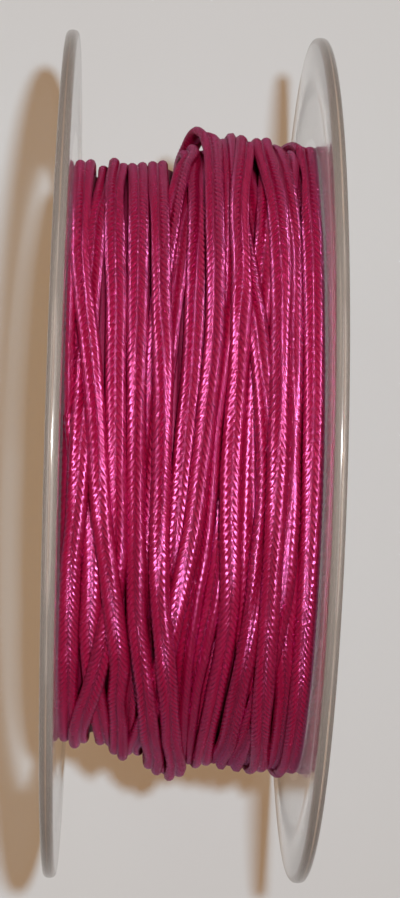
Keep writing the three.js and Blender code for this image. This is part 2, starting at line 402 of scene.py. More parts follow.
def on_reel(reel: ReelSize, angles: Array, across: Array, radius: Array, roll: Array) -> tuple[Array, Array]:
    """Turns places on the reel into points.

    Args:
        reel: the reel's sizes.
        angles: degrees from the crown.
        across: millimetres from the left flange.
        radius: millimetres from the axis.
        roll: radians that the braid's right side is raised.

    Returns:
        The points, and the way that the braid's face looks at each.
    """
    phi = np.radians(angles)
    radial = np.stack([np.zeros_like(phi), np.sin(phi), np.cos(phi)], axis=1)
    points = radial * radius[:, None]
    points[:, 0] = reel.inside_left + across
    points[:, 2] += reel.axis_height
    outward = radial * np.cos(roll)[:, None]
    outward[:, 0] = -np.sin(roll)
    return points, outward


def strung(reel: ReelSize, turns: Iterable[LaidTurn], tones: Iterable[float]) -> Path3D:
    """Strings turns that follow each other into one line."""
    points, outward, tone = [], [], []
    for turn, value in zip(turns, tones):
        line, face = on_reel(reel, turn.angles, turn.across, turn.radius, turn.roll)
        points.append(line[:-1])
        outward.append(face[:-1])
        tone.append(np.full(len(line) - 1, value))
    return Path3D(np.concatenate(points), np.concatenate(outward), np.concatenate(tone))


def even_turns(reel: ReelSize, braid: BraidSize, rng: np.random.Generator, first_layer: bool) -> Path3D:
    """One even layer as a long helix: the first one, on the hub, or the one that the last turns lie on."""
    angles = np.arange(0, EVEN.turns * 360, EVEN.step) - HALF_TURN
    first = EVEN.from_flange
    last = reel.inside_width - first
    wander = sum(reach * np.sin(np.radians(angles) * often) for reach, often in EVEN.wanders)
    across = np.clip(np.linspace(first, last, len(angles)) + wander, first, last)
    radius = Winding.bed_radius(across) - braid.rib_radius
    if first_layer:
        radius = np.full_like(angles, reel.winding_radius + braid.rib_radius)
    points, outward = on_reel(reel, angles, across, radius, np.zeros_like(angles))
    marks = angles[:: EVEN.tone_every]
    return Path3D(points, outward, np.interp(angles, marks, rng.uniform(*EVEN.tones, len(marks))))


def side_paths(reel: ReelSize, braid: BraidSize, rng: np.random.Generator) -> list[Path3D]:
    """The edges of the even turns, layer on layer, as they show through the clear flanges."""
    paths = []
    angles = np.arange(0, 360, EVEN.step)
    places = (("left", EVEN.from_flange), ("right", reel.inside_width - EVEN.from_flange))
    for side, across in places:
        start = reel.winding_radius + braid.rib_radius
        end = Winding.bed_radius(across) - braid.rib_radius
        layers = int((end - start) / EVEN.least_layer_height) + 1
        LOG.info("%d layers of braid show through the %s flange", layers, side)
        for radius in np.linspace(start, end, layers):
            phase = np.radians(angles) * rng.integers(*EVEN.layer_waves) + rng.uniform(0, 6)
            wander = EVEN.layer_wander * np.sin(phase)
            points, outward = on_reel(
                reel,
                angles + rng.uniform(0, 360),
                np.full_like(angles, across),
                radius + wander,
                np.zeros_like(angles),
            )
            tone = np.full(len(angles), rng.uniform(*EVEN.layer_tones))
            paths.append(Path3D(points, outward, tone, closed=True))
    return paths


class Tree:
    """Adds nodes to a node tree, so that a formula in it reads as one.

    A place round a rib is given as its wrap, an angle in radians from the groove outwards.
    """

    SHINGLE_SKEW = 1.3
    GROOVE_EDGE = (0.48, 0.8)
    GROOVE_FULLNESS = 0.12
    OUTER_SIDE = (1.2, 2.3)
    OUTER_FULLNESS = 0.2

    def __init__(self, tree: bpy.types.NodeTree) -> None:
        self.tree = tree

    def feed(self, socket: Socket, value: Any) -> None:
        """Links a socket to another one, or sets its value."""
        if isinstance(value, bpy.types.NodeSocket):
            self.tree.links.new(value, socket)
        else:
            socket.default_value = value

    def add(self, kind: str, inputs: dict[str | int, Any] | None = None, **settings: Any) -> Any:
        """Adds a node.

        Args:
            kind: the node's type.
            inputs: a value or another node's output for each named input.
            settings: the node's own properties.

        Returns:
            The node.
        """
        node = self.tree.nodes.new(kind)
        for name, value in settings.items():
            setattr(node, name, value)
        for name, value in (inputs or {}).items():
            self.feed(node.inputs[name], value)
        return node

    def math(self, operation: str, *values: Any, clamp: bool = False) -> Socket:
        """A number worked out from others."""
        node = self.add("ShaderNodeMath", dict(enumerate(values)), operation=operation, use_clamp=clamp)
        return node.outputs[0]

    def vector(self, operation: str, *values: Any) -> Socket:
        """A vector worked out from others."""
        return self.add("ShaderNodeVectorMath", dict(enumerate(values)), operation=operation).outputs[0]

    def scaled(self, vector: Any, factor: Any) -> Socket:
        """A vector times a number."""
        node = self.add("ShaderNodeVectorMath", {0: vector, "Scale": factor}, operation="SCALE")
        return node.outputs[0]

    def shingle(self, phase: Any) -> Socket:
        """A yarn's height over its own width, from 0 to 1. It rises gently and drops under the next yarn."""
        share = self.math("POWER", self.math("FRACT", phase), self.SHINGLE_SKEW)
        return self.math("SINE", self.math("MULTIPLY", share, math.pi))

    def ranged(self, value: Any, low: float, high: float, to_low: Any, to_high: Any) -> Socket:
        """A number moved from one range to another, smoothly, and kept within it."""
        node = self.add(
            "ShaderNodeMapRange",
            {"Value": value, "From Min": low, "From Max": high, "To Min": to_low, "To Max": to_high},
            interpolation_type="SMOOTHSTEP",
        )
        return node.outputs[0]

    def blended(self, share: Any, colour: Any, other: Any) -> Socket:
        """One colour turning into another."""
        node = self.add("ShaderNodeMix", {0: share}, data_type="RGBA")
        sockets = [socket for socket in node.inputs if socket.type == "RGBA"]
        for socket, value in zip(sockets, (colour, other)):
            self.feed(socket, rgba(value) if isinstance(value, tuple) else value)
        return node.outputs[2]

    def seen_straight(self) -> Socket:
        """1 where the camera sees a surface itself or through clear plastic, else 0."""
        rays = self.add("ShaderNodeLightPath").outputs
        seen = self.math("ADD", rays["Is Camera Ray"], rays["Is Transmission Ray"], clamp=True)
        bounces = self.math("ADD", rays["Diffuse Depth"], rays["Glossy Depth"])
        return self.math("MULTIPLY", seen, self.math("LESS_THAN", bounces, 0.5))

    def fullness(self, wrap: Any) -> Socket:
        """How much a yarn stands out: most beside the groove, and less in it and round the outside."""
        inside = self.ranged(wrap, *self.GROOVE_EDGE, self.GROOVE_FULLNESS, 1.0)
        outside = self.ranged(wrap, *self.OUTER_SIDE, 1.0, self.OUTER_FULLNESS)
        return self.math("MULTIPLY", inside, outside)

    def combined(self, x: Any = 0.0, y: Any = 0.0, z: Any = 0.0) -> Socket:
        """A vector from three numbers."""
        return self.add("ShaderNodeCombineXYZ", {"X": x, "Y": y, "Z": z}).outputs[0]

    def parts(self, vector: Any) -> tuple[Socket, Socket, Socket]:
        """The three numbers of a vector."""
        outputs = self.add("ShaderNodeSeparateXYZ", {0: vector}).outputs
        return outputs[0], outputs[1], outputs[2]

    def captured(self, geometry: Socket, **fields: tuple[str, Socket]) -> Any:
        """Keeps fields on a geometry. Returns the outputs, the geometry's first."""
        node = self.add("GeometryNodeCaptureAttribute", {0: geometry})
        for name, (kind, value) in fields.items():
            node.capture_items.new(kind, name)
            self.feed(node.inputs[name], value)
        return node.outputs

    def named(self, name: str, kind: str) -> Socket:
        """An attribute of the geometry."""
        node = self.add("GeometryNodeInputNamedAttribute", data_type=kind)
        node.inputs["Name"].default_value = name
        return node.outputs["Attribute"]


GEOMETRY = "NodeSocketGeometry"
FLOAT = "NodeSocketFloat"
INTEGER = "NodeSocketInt"
COLOUR = "NodeSocketColor"
VECTOR = "NodeSocketVector"
MATERIAL = "NodeSocketMaterial"


def new_group(name: str, kind: str, inputs: dict[str, str], outputs: dict[str, str]) -> Tree:
    """Makes an empty node group with its sockets.

    Args:
        name: the group's name.
        kind: "GeometryNodeTree" or "ShaderNodeTree".
        inputs: the type of each named input.
        outputs: the type of each named output.

    Returns:
        The group, ready for nodes.
    """
    group = bpy.data.node_groups.new(name, kind)
    for in_out, sockets in (("INPUT", inputs), ("OUTPUT", outputs)):
        for socket, socket_type in sockets.items():
            group.interface.new_socket(socket, in_out=in_out, socket_type=socket_type)
    return Tree(group)


class BraidMaker:
    """Sweeps the braid's section along lines, with its slanting yarns, in a Geometry Nodes group."""

    INPUTS = {
        "Paths": GEOMETRY,
        "Row Length": FLOAT,
        "Rows per Yarn": INTEGER,
        "Profile Points": INTEGER,
        "Crowding": FLOAT,
        "Rib Offset": FLOAT,
        "Groove": FLOAT,
        "Lean": FLOAT,
        "Relief": FLOAT,
        "Material": MATERIAL,
    }

    def __init__(self, size: BraidSize) -> None:
        self.size = size
        self.group = new_group("Two-ribbed braid", "GeometryNodeTree", self.INPUTS, {"Braid": GEOMETRY})
        self._build()

    def _section(self, tree: Tree, given: Any) -> Socket:
        """The section: two round ribs that meet in a groove, with more points on its outer side."""
        circle = tree.add("GeometryNodeCurvePrimitiveCircle", {"Resolution": given["Profile Points"]})
        index = tree.add("GeometryNodeInputIndex").outputs[0]
        share = tree.math("DIVIDE", index, given["Profile Points"])
        even = tree.math("MULTIPLY", share, math.tau)
        angle = tree.math("ADD", even, tree.math("MULTIPLY", tree.math("COSINE", even), given["Crowding"]))
        cosine, sine = tree.math("COSINE", angle), tree.math("SINE", angle)
        lobe = tree.math("MULTIPLY", tree.math("MULTIPLY", given["Rib Offset"], 2.0), cosine)
        squares = tree.math("ADD", tree.math("POWER", lobe, 2.0), tree.math("POWER", given["Groove"], 2.0))
        radius = tree.math("SQRT", squares)
        place = tree.combined(tree.math("MULTIPLY", radius, cosine), tree.math("MULTIPLY", radius, sine))
        return tree.add("GeometryNodeSetPosition", {0: circle.outputs["Curve"], "Position": place}).outputs[0]

    def _build(self) -> None:
        tree = self.group
        given = tree.add("NodeGroupInput").outputs
        curve = tree.add("GeometryNodeMeshToCurve", {0: given["Paths"]}).outputs[0]
        rows = tree.add("GeometryNodeResampleCurve", {0: curve, "Length": given["Row Length"]}, mode="LENGTH")
        tangent = tree.add("GeometryNodeInputTangent").outputs[0]
        outward = tree.named("outward", "FLOAT_VECTOR")
        side = tree.vector("NORMALIZE", tree.vector("CROSS_PRODUCT", tangent, outward))
        line = tree.captured(
            rows.outputs[0],
            row=("FLOAT", tree.add("GeometryNodeInputIndex").outputs[0]),
            middle=("VECTOR", tree.add("GeometryNodeInputPosition").outputs[0]),
            tangent=("VECTOR", tangent),
            side=("VECTOR", side),
            outward=("VECTOR", tree.vector("CROSS_PRODUCT", side, tangent)),
            tone=("FLOAT", tree.named("tone", "FLOAT")),
        )
        profile = tree.captured(
            self._section(tree, given),
            section=("VECTOR", tree.add("GeometryNodeInputPosition").outputs[0]),
        )
        swept = tree.add(
            "GeometryNodeCurveToMesh",
            {"Curve": line[0], "Profile Curve": profile[0], "Fill Caps": True},
        ).outputs[0]

        x, y, _ = tree.parts(profile["section"])
        from_rib = tree.math("SUBTRACT", tree.math("ABSOLUTE", x), given["Rib Offset"])
        around = tree.math("ARCTAN2", tree.math("ABSOLUTE", y), from_rib)
        wrap = tree.math("SUBTRACT", math.pi, around)
        behind = tree.math("MULTIPLY", tree.math("MULTIPLY", wrap, given["Rib Offset"]), given["Lean"])

        phase = tree.math("DIVIDE", line["row"], given["Rows per Yarn"])
        depth = tree.math("MULTIPLY", tree.fullness(wrap), given["Relief"])
        sunk = tree.math("MULTIPLY", tree.math("SUBTRACT", 1.0, tree.shingle(phase)), depth)
        kept = tree.math("SUBTRACT", 1.0, tree.math("DIVIDE", sunk, given["Rib Offset"]))
        rib_side = tree.math("MULTIPLY", tree.math("SIGN", x), given["Rib Offset"])
        new_x = tree.math("MULTIPLY_ADD", tree.math("SUBTRACT", x, rib_side), kept, rib_side)
        new_y = tree.math("MULTIPLY", y, kept)

        place = line["middle"]
        for vector, amount in (
            (line["side"], new_x),
            (line["outward"], new_y),
            (line["tangent"], tree.math("MULTIPLY", behind, -1.0)),
        ):
            place = tree.vector("ADD", place, tree.scaled(vector, amount))
        moved = tree.add("GeometryNodeSetPosition", {0: swept, "Position": place}).outputs[0]
        stored = tree.add(
            "GeometryNodeStoreNamedAttribute",
            {0: moved, "Name": "weave", "Value": tree.combined(phase, wrap, line["tone"])},
            data_type="FLOAT_VECTOR",
            domain="POINT",
        ).outputs[0]
        smooth = tree.add("GeometryNodeSetShadeSmooth", {0: stored}).outputs[0]
        real = tree.add("GeometryNodeRealizeInstances", {0: smooth}).outputs[0]
        done = tree.add("GeometryNodeSetMaterial", {0: real, "Material": given["Material"]}).outputs[0]
        tree.add("NodeGroupOutput", {0: done})

    def make(self, name: str, paths: Sequence[Path3D], detail: Detail, material: bpy.types.Material) -> Any:
        """Makes one piece of braid.

        Args:
            name: the piece's name.
            paths: the lines that it follows.
            detail: how finely it is meshed.
            material: what it is made of.

        Returns:
            The piece, as a plain mesh object.
        """
        source = mesh_of_paths(name + "_paths", paths)
        modifier = source.modifiers.new("Braid", "NODES")
        modifier.node_group = self.group.tree
        values = {
            "Row Length": self.size.pitch * MM / detail.rows_per_pitch,
            "Rows per Yarn": detail.rows_per_pitch,
            "Profile Points": detail.profile_points,
            "Crowding": detail.crowding,
            "Rib Offset": self.size.rib_offset * MM,
            "Groove": self.size.groove * MM,
            "Lean": self.size.lean,
            "Relief": self.size.relief * MM,
            "Material": material,
        }
        for socket in self.group.tree.interface.items_tree:
            if socket.in_out == "INPUT" and socket.name in values:
                modifier[socket.identifier] = values[socket.name]
        return converted(source, name, material)


def mesh_of_paths(name: str, paths: Sequence[Path3D]) -> bpy.types.Object:
    """A mesh of edges along lines, with the braid's facing and tone at each point."""
    points = np.concatenate([path.points for path in paths]) * MM
    edges = []
    start = 0
    for path in paths:
        count = len(path.points)
        last = count if path.closed else count - 1
        edges += [(start + i, start + (i + 1) % count) for i in range(last)]
        start += count
    mesh = bpy.data.meshes.new(name)
    mesh.from_pydata(points.tolist(), edges, [])
    outward = mesh.attributes.new("outward", "FLOAT_VECTOR", "POINT")
    outward.data.foreach_set("vector", np.concatenate([p.outward for p in paths]).ravel())
    tone = mesh.attributes.new("tone", "FLOAT", "POINT")
    tone.data.foreach_set("value", np.concatenate([p.tone for p in paths]))
    return link(bpy.data.objects.new(name, mesh))


def link(obj: bpy.types.Object) -> bpy.types.Object:
    """Puts an object in the scene."""
    bpy.context.scene.collection.objects.link(obj)
    return obj


def converted(source: bpy.types.Object, name: str, material: bpy.types.Material) -> bpy.types.Object:
    """Turns an object and its modifiers into a plain mesh object, and removes the source."""
    bpy.context.view_layer.update()
    evaluated = source.evaluated_get(bpy.context.evaluated_depsgraph_get())
    mesh = bpy.data.meshes.new_from_object(evaluated)
    mesh.name = name
    bpy.data.objects.remove(source)
    mesh.materials.clear()
    mesh.materials.append(material)
    return link(bpy.data.objects.new(name, mesh))


def turned(
    name: str, profile: Sequence[tuple[float, float]], reel: ReelSize, material: bpy.types.Material
) -> bpy.types.Object:
    """A solid of revolution about the reel's axis, pressed flat where it stands on the floor.

    Args:
        name: the object's name.
        profile: the section's closed outline as (radius, x) points in millimetres.
        reel: the reel's sizes.
        material: what it is made of.

    Returns:
        The object, with normals outward.
    """
    ring = np.array(profile)
    count, steps = len(ring), reel.facets
    phi = np.arange(steps) * math.tau / steps
    corners = np.stack(
        [
            np.broadcast_to(ring[None, :, 1], (steps, count)),
            ring[None, :, 0] * np.sin(phi)[:, None],
            ring[None, :, 0] * np.cos(phi)[:, None] + reel.axis_height,
        ],
        axis=2,
    ).reshape(-1, 3)
    corners[:, 2] = np.maximum(corners[:, 2], 0)
    faces = [
        (
            i * count + j,
            i * count + (j + 1) % count,
            (i + 1) % steps * count + (j + 1) % count,
            (i + 1) % steps * count + j,
        )
        for i in range(steps)
        for j in range(count)
    ]
    mesh = bpy.data.meshes.new(name)
    mesh.from_pydata((corners * MM).tolist(), [], faces)
    mesh.polygons.foreach_set("use_smooth", [True] * len(mesh.polygons))
    mesh.materials.append(material)
    return link(bpy.data.objects.new(name, mesh))


def rounded(corners: Sequence[tuple[float, float, float]], steps: int = 4) -> list[tuple[float, float]]:
    """An outline with its corners rounded.

    Args:
        corners: (radius, x, rounding) for each corner, in order round the outline.
        steps: how many straight pieces each rounding takes.

    Returns:
        The outline's points.
    """
    outline: list[tuple[float, float]] = []
    for i, (radius, x, rounding) in enumerate(corners):
        here = Vector((radius, x))
        before = Vector(corners[i - 1][:2]) - here
        after = Vector(corners[(i + 1) % len(corners)][:2]) - here
        if rounding <= 0:
            outline.append((radius, x))
            continue
        start = here + before.normalized() * rounding
        end = here + after.normalized() * rounding
        for k in range(steps + 1):
            t = k / steps
            point = start * (1 - t) ** 2 + here * (2 * t * (1 - t)) + end * t**2
            outline.append((point.x, point.y))
    return outline


@dataclass(frozen=True)
class YarnFinish:
    """The look of the braid's yarns, with the shade painted between them. Colours are linear."""

    yarn: tuple[float, float, float]
    # painted shade: the darker colour that each yarn turns towards where it dives under the next, and in the
    # groove
    gap: tuple[float, float, float]
    sheen: tuple[float, float, float]
    roughness: float
    shine: float


@dataclass(frozen=True)
class PlasticFinish:
    """The look of the clear plastic. Its colour is linear."""

    tint: tuple[float, float, float]
    roughness: float
    ior: float
    transmission: float
    shadow: float


OUTER_YARN = YarnFinish(
    yarn=(0.275, 0.0015, 0.028),
    gap=(0.18, 0.0005, 0.012),
    sheen=(1.0, 0.23, 0.66),
    roughness=0.25,
    shine=1.0,
)
# Painted shade: a darker, duller copy of the yarn for the turns below the last ones, which lie in shade.
DEEP_YARN_PAINTED_SHADE = YarnFinish(
    yarn=(0.20, 0.003, 0.03),
    gap=(0.05, 0.001, 0.006),
    sheen=(1.0, 0.28, 0.62),
    roughness=0.5,
    shine=0.2,
)
CLEAR_FACES = PlasticFinish(tint=(0.95, 0.94, 0.92), roughness=0.1, ior=1.5, transmission=0.88, shadow=0.25)
POLISHED_DISC = PlasticFinish(tint=(0.97, 0.96, 0.95), roughness=0.05, ior=1.5, transmission=1.0, shadow=0.9)
# Painted shade: the rim's brownish tint stands in for the floor's warm shadow seen through it; its haze is
# the plastic's own.
HAZY_RIM_PAINTED_SHADE = PlasticFinish(tint=(0.80, 0.68, 0.60), roughness=0.16, ior=1.5, transmission=0.76, shadow=0.25)


def rgba(colour: Sequence[float]) -> tuple[float, ...]:
    """A colour with full opacity."""
    return (*colour, 1.0)


def new_material(name: str) -> tuple[bpy.types.Material, Tree, Any]:
    """Makes a material. Returns it with its nodes and its shader."""
    material = bpy.data.materials.new(name)
    material.use_nodes = True
    return material, Tree(material.node_tree), material.node_tree.nodes["Principled BSDF"]


class Finishes:
    """Makes the materials, and the shader group that both braid materials use."""

    GROUP_INPUTS = {"Weave": VECTOR, "Yarn Colour": COLOUR, "Painted Gap Shade": COLOUR}
    GROUP_OUTPUTS = {"Colour": COLOUR, "Roughness Change": FLOAT, "Height": FLOAT}
    FILAMENTS = 12.0
    FILAMENT_TWIST = -4.0
    FILAMENT_WAVES = (4.0, 2.5)
    GROOVE_BUMP = 0.2
    CROWN_BUMP = 0.08
    SIDE_BUMP = 0.3
    BUMP_DEPTH = 0.1
    BESIDE_GROOVE = (0.8, 1.2)
    AT_THE_SIDE = (1.6, 2.3)
    YARN_EDGE = (0.0, 0.5)
    IN_THE_GROOVE = (0.4, 0.9)
    BLOTCH_LENGTH = 0.35
    YARN_EDGE_PAINTED_SHADE = 0.7
    GROOVE_PAINTED_SHADE = 0.45
    TONE_CHANGE, TONE_FROM = 0.35, 0.82
    BLOTCH_CHANGE, BLOTCH_FROM = 0.4, 0.8
    ROUGHNESS_CHANGE = 0.15
    YARN_IOR = 2.3

    def __init__(self) -> None:
        self.yarns = self._yarn_group()
        self.outer = self._braid("magenta_yarn", OUTER_YARN)
        self.deep = self._braid("magenta_yarn_below_painted_shade", DEEP_YARN_PAINTED_SHADE)
        self.plastic = self._plastic("clear_polystyrene", CLEAR_FACES)
        self.rim = self._plastic("hazy_polystyrene_rim_painted_shade", HAZY_RIM_PAINTED_SHADE)
        self.disc = self._plastic("polished_polystyrene", POLISHED_DISC)

    def _yarn_group(self) -> bpy.types.NodeTree:
        """Slanting yarns side by side, each round across and made of fine filaments, with shade painted at
        their edges and in the groove.
        """
        tree = new_group("Slanting yarns", "ShaderNodeTree", self.GROUP_INPUTS, self.GROUP_OUTPUTS)
        given = tree.add("NodeGroupInput").outputs
        phase, wrap, tone = tree.parts(given["Weave"])
        crown = tree.shingle(phase)

        along, around = self.FILAMENT_WAVES
        waves = tree.combined(tree.math("MULTIPLY", phase, along), tree.math("MULTIPLY", wrap, around), tone)
        wavy = tree.add("ShaderNodeTexNoise", {"Vector": waves, "Scale": 1.0}).outputs[0]
        shifted = tree.math("MULTIPLY_ADD", wrap, self.FILAMENT_TWIST, wavy)
        strand = tree.math("FRACT", tree.math("MULTIPLY_ADD", phase, self.FILAMENTS, shifted))
        filament = tree.math("SINE", tree.math("MULTIPLY", strand, math.pi))
        blotches = tree.combined(tree.math("MULTIPLY", phase, self.BLOTCH_LENGTH), wrap, tone)
        blotch = tree.add("ShaderNodeTexNoise", {"Vector": blotches, "Scale": 1.0}).outputs[0]

        # Painted shade: each yarn darkens towards the gap shade colour where it dives under the next.
        painted_edge_shade = tree.ranged(crown, *self.YARN_EDGE, self.YARN_EDGE_PAINTED_SHADE, 1.0)
        # Painted shade: the colour darkens in the groove between the two ribs.
        groove = tree.ranged(wrap, *self.IN_THE_GROOVE, self.GROOVE_PAINTED_SHADE, 1.0)
        shade = tree.math("MULTIPLY", painted_edge_shade, groove)
        mixed = tree.blended(shade, given["Painted Gap Shade"], given["Yarn Colour"])
        bright = tree.math(
            "MULTIPLY",
            tree.math("MULTIPLY_ADD", tone, self.TONE_CHANGE, self.TONE_FROM),
            tree.math("MULTIPLY_ADD", blotch, self.BLOTCH_CHANGE, self.BLOTCH_FROM),
        )
        coloured = tree.scaled(mixed, bright)
        beside_groove = tree.ranged(wrap, *self.BESIDE_GROOVE, self.GROOVE_BUMP, self.CROWN_BUMP)
        outside = tree.ranged(wrap, *self.AT_THE_SIDE, 0.0, self.SIDE_BUMP - self.CROWN_BUMP)
        height = tree.math("MULTIPLY", filament, tree.math("ADD", beside_groove, outside))
        rough = tree.math("MULTIPLY", tree.math("SUBTRACT", blotch, 0.5), self.ROUGHNESS_CHANGE)
        tree.add("NodeGroupOutput", {"Colour": coloured, "Roughness Change": rough, "Height": height})
        return tree.tree

    def _braid(self, name: str, finish: YarnFinish) -> bpy.types.Material:
        material, tree, shader = new_material(name)
        weave = tree.add("ShaderNodeAttribute", attribute_name="weave", attribute_type="GEOMETRY")
        yarns = tree.add("ShaderNodeGroup", node_tree=self.yarns)
        tree.feed(yarns.inputs["Weave"], weave.outputs["Vector"])
        tree.feed(yarns.inputs["Yarn Colour"], rgba(finish.yarn))
        tree.feed(yarns.inputs["Painted Gap Shade"], rgba(finish.gap))
        bump = tree.add(
            "ShaderNodeBump",
            {"Height": yarns.outputs["Height"], "Strength": 1.0, "Distance": self.BUMP_DEPTH * MM},
        )
        roughness = tree.math("ADD", yarns.outputs["Roughness Change"], finish.roughness)
        tree.feed(shader.inputs["Base Color"], yarns.outputs["Colour"])
        tree.feed(shader.inputs["Roughness"], roughness)
        tree.feed(shader.inputs["Normal"], bump.outputs["Normal"])
        tree.feed(shader.inputs["IOR"], self.YARN_IOR)
        tree.feed(shader.inputs["Specular IOR Level"], finish.shine)
        tree.feed(shader.inputs["Specular Tint"], rgba(finish.sheen))
        return material

    def _plastic(self, name: str, finish: PlasticFinish) -> bpy.types.Material:
        """Clear plastic that lets a share of the light straight through where it would cast a shadow."""
        material, tree, shader = new_material(name)
        tree.feed(shader.inputs["Base Color"], rgba(finish.tint))
        tree.feed(shader.inputs["Roughness"], finish.roughness)
        tree.feed(shader.inputs["IOR"], finish.ior)
        tree.feed(shader.inputs["Transmission Weight"], finish.transmission)
        through = tree.add("ShaderNodeBsdfTransparent", {"Color": rgba(finish.tint)})
        is_shadow = tree.add("ShaderNodeLightPath").outputs["Is Shadow Ray"]
        share = tree.math("MULTIPLY", is_shadow, finish.shadow)
        mixed = tree.add("ShaderNodeMixShader", {0: share, 1: shader.outputs[0], 2: through.outputs[0]})
        tree.feed(material.node_tree.nodes["Material Output"].inputs["Surface"], mixed.outputs[0])
        return material


class ReelModel:
    """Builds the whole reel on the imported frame."""

    TURNS_PER_PIECE = 4
    FINE_PIECES = 3
    RIM_ROUNDING = 0.75
    BAND_SLOPE = 1.6
    BAND_ROUNDING = 0.7
    BORE_ROUNDING = 0.12
    HUB_ROUNDING = 0.15
    DISC_RADIUS = 42.0
    CORE_FROM_FLANGE = 1.5
    CORE_BELOW_BED = 1.1
    CORE_START_IN_RIBS = 1.5
    LAST_TONES = (0.25, 0.85)

    def __init__(self, finishes: Finishes) -> None:
        self.finishes = finishes
        self.rng = np.random.default_rng(7)
        self.braid = BraidMaker(BRAID)

    def _place(self, obj: bpy.types.Object, slot: Slot, *nodes: str) -> None:
        """Puts a piece on the part's body and hides the CAD nodes that it stands for."""
        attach(obj, BODY)
        if nodes:
            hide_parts(*nodes)

    def flange_outline(self, outer_x: float, inwards: int) -> list[tuple[float, float]]:
        """One flange's section, from its outer face inwards."""
        size = REEL
        recess = size.recess
        band = size.flange_radius - size.rim_band
        depth = size.rim_thickness
        corners = [
            (size.bore_radius, recess, self.BORE_ROUNDING),
            (self.DISC_RADIUS, recess, 0.0),
            (band - self.BAND_SLOPE, recess, self.BAND_ROUNDING),
            (band, 0.0, self.BAND_ROUNDING),
            (size.flange_radius, 0.0, self.RIM_ROUNDING),
            (size.flange_radius, depth, self.RIM_ROUNDING),
            (band, depth, self.BAND_ROUNDING),
            (band - self.BAND_SLOPE, depth - recess, self.BAND_ROUNDING),
            (self.DISC_RADIUS, depth - recess, 0.0),
            (size.bore_radius, depth - recess, self.BORE_ROUNDING),
        ]
        outline = [(radius, outer_x + inwards * x) for radius, x in rounded(corners)]
        return outline if inwards > 0 else outline[::-1]

    def build_reel(self) -> None:
        """The two flanges and the hub."""
        half = REEL.inside_width / 2 + REEL.rim_thickness
        for name, outer, inwards in (("left", -half, 1), ("right", half, -1)):
            outline = self.flange_outline(outer, inwards)
            flange = turned(f"{name}_flange_moulded", outline, REEL, self.finishes.plastic)
            self.finish_flange(flange.data)
            self._place(flange, Slot.PLASTIC, f"flange_{name}")
        end = REEL.inside_width / 2 - REEL.piece_gap
        outer = REEL.bore_radius + REEL.hub_wall
        ends = ((REEL.bore_radius, -end), (outer, -end), (outer, end), (REEL.bore_radius, end))
        corners = [(*corner, self.HUB_ROUNDING) for corner in ends]
        hub = turned("hub_tube", rounded(corners), REEL, self.finishes.disc)
        self._place(hub, Slot.PLASTIC, "hub")

    def finish_flange(self, mesh: bpy.types.Mesh) -> None:
        """Gives a flange a hazier outer edge with a painted brownish shade, and a clearer disc where braid
        lies against it.
        """
        mesh.materials.append(self.finishes.rim)
        mesh.materials.append(self.finishes.disc)
        rim_index, disc_index = 1, 2
        for face in mesh.polygons:
            _, y, z = face.center / MM
            radius = math.hypot(y, z - REEL.axis_height)
            if radius > REEL.flange_radius - self.RIM_ROUNDING:
                face.material_index = rim_index
            elif radius < self.DISC_RADIUS:
                face.material_index = disc_index

    def build_core(self) -> None:
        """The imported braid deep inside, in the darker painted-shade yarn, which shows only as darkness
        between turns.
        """
        inner = REEL.winding_radius + self.CORE_START_IN_RIBS * BRAID.rib_radius
        left, right = self.CORE_FROM_FLANGE, REEL.inside_width - self.CORE_FROM_FLANGE
        below = self.CORE_BELOW_BED
        profile = [
            (inner, REEL.inside_left + left),
            (Winding.bed_radius(left) - below, REEL.inside_left + left),
            (Winding.bed_radius(right) - below, REEL.inside_left + right),
            (inner, REEL.inside_left + right),
        ]
        core = turned("packed_braid_inside", profile, REEL, self.finishes.deep)
        self._place(core, Slot.BRAID, "braid_winding")

    def _wind(self, name: str, paths: Sequence[Path3D], detail: Detail, material: Any) -> None:
        """Makes one piece of braid and puts it on the part."""
        self._place(self.braid.make(name, paths, detail, material), Slot.BRAID)

    def build_braid(self) -> None:
        """The last turns, the layers below them that show, and the edges of all the layers."""
        outer = self.finishes.outer
        turns = Winding(REEL, BRAID, TURNS).laid()
        tones = list(self.rng.uniform(*self.LAST_TONES, len(turns)))
        low = len(turns) - self.FINE_PIECES * self.TURNS_PER_PIECE
        self._wind("braid_lower_turns", [strung(REEL, turns[:low], tones[:low])], PLAIN, outer)
        for number, start in enumerate(range(low, len(turns), self.TURNS_PER_PIECE), 1):
            end = start + self.TURNS_PER_PIECE
            path = strung(REEL, turns[start:end], tones[start:end])
            self._wind(f"braid_last_turns_{number}", [path], FINE, outer)
        bed = even_turns(REEL, BRAID, self.rng, first_layer=False)
        # The even turns below are drawn in the painted-shade yarn.
        self._wind("braid_even_turns", [bed], COARSE, self.finishes.deep)
        self._wind("braid_layer_edges", side_paths(REEL, BRAID, self.rng), THROUGH_PLASTIC, outer)
        first = even_turns(REEL, BRAID, self.rng, first_layer=True)
        self._wind("braid_first_turns", [first], THROUGH_PLASTIC, outer)

    def build(self) -> None:
        """Builds every piece."""
        self.build_reel()
        self.build_core()
        self.build_braid()


@dataclass(frozen=True)
class CameraPlan:
    """The photo's view: from straight above, a little left of the reel's middle."""

    place: tuple[float, float, float] = (-8.4, 0.0, REEL.axis_height + 317.35)
    target: tuple[float, float, float] = (0.84, 0.95, REEL.axis_height + 40.0)
    tilt: float = 1.6
    sensor: float = 36.0
    focal_pixels: float = 2408.0
    frame_height: float = 898.0


@dataclass(frozen=True)
class LightPlan:
    """One area light."""

    name: str
    place: tuple[float, float, float]
    size: float
    power: float
    colour: tuple[float, float, float] = (1.0, 1.0, 1.0)


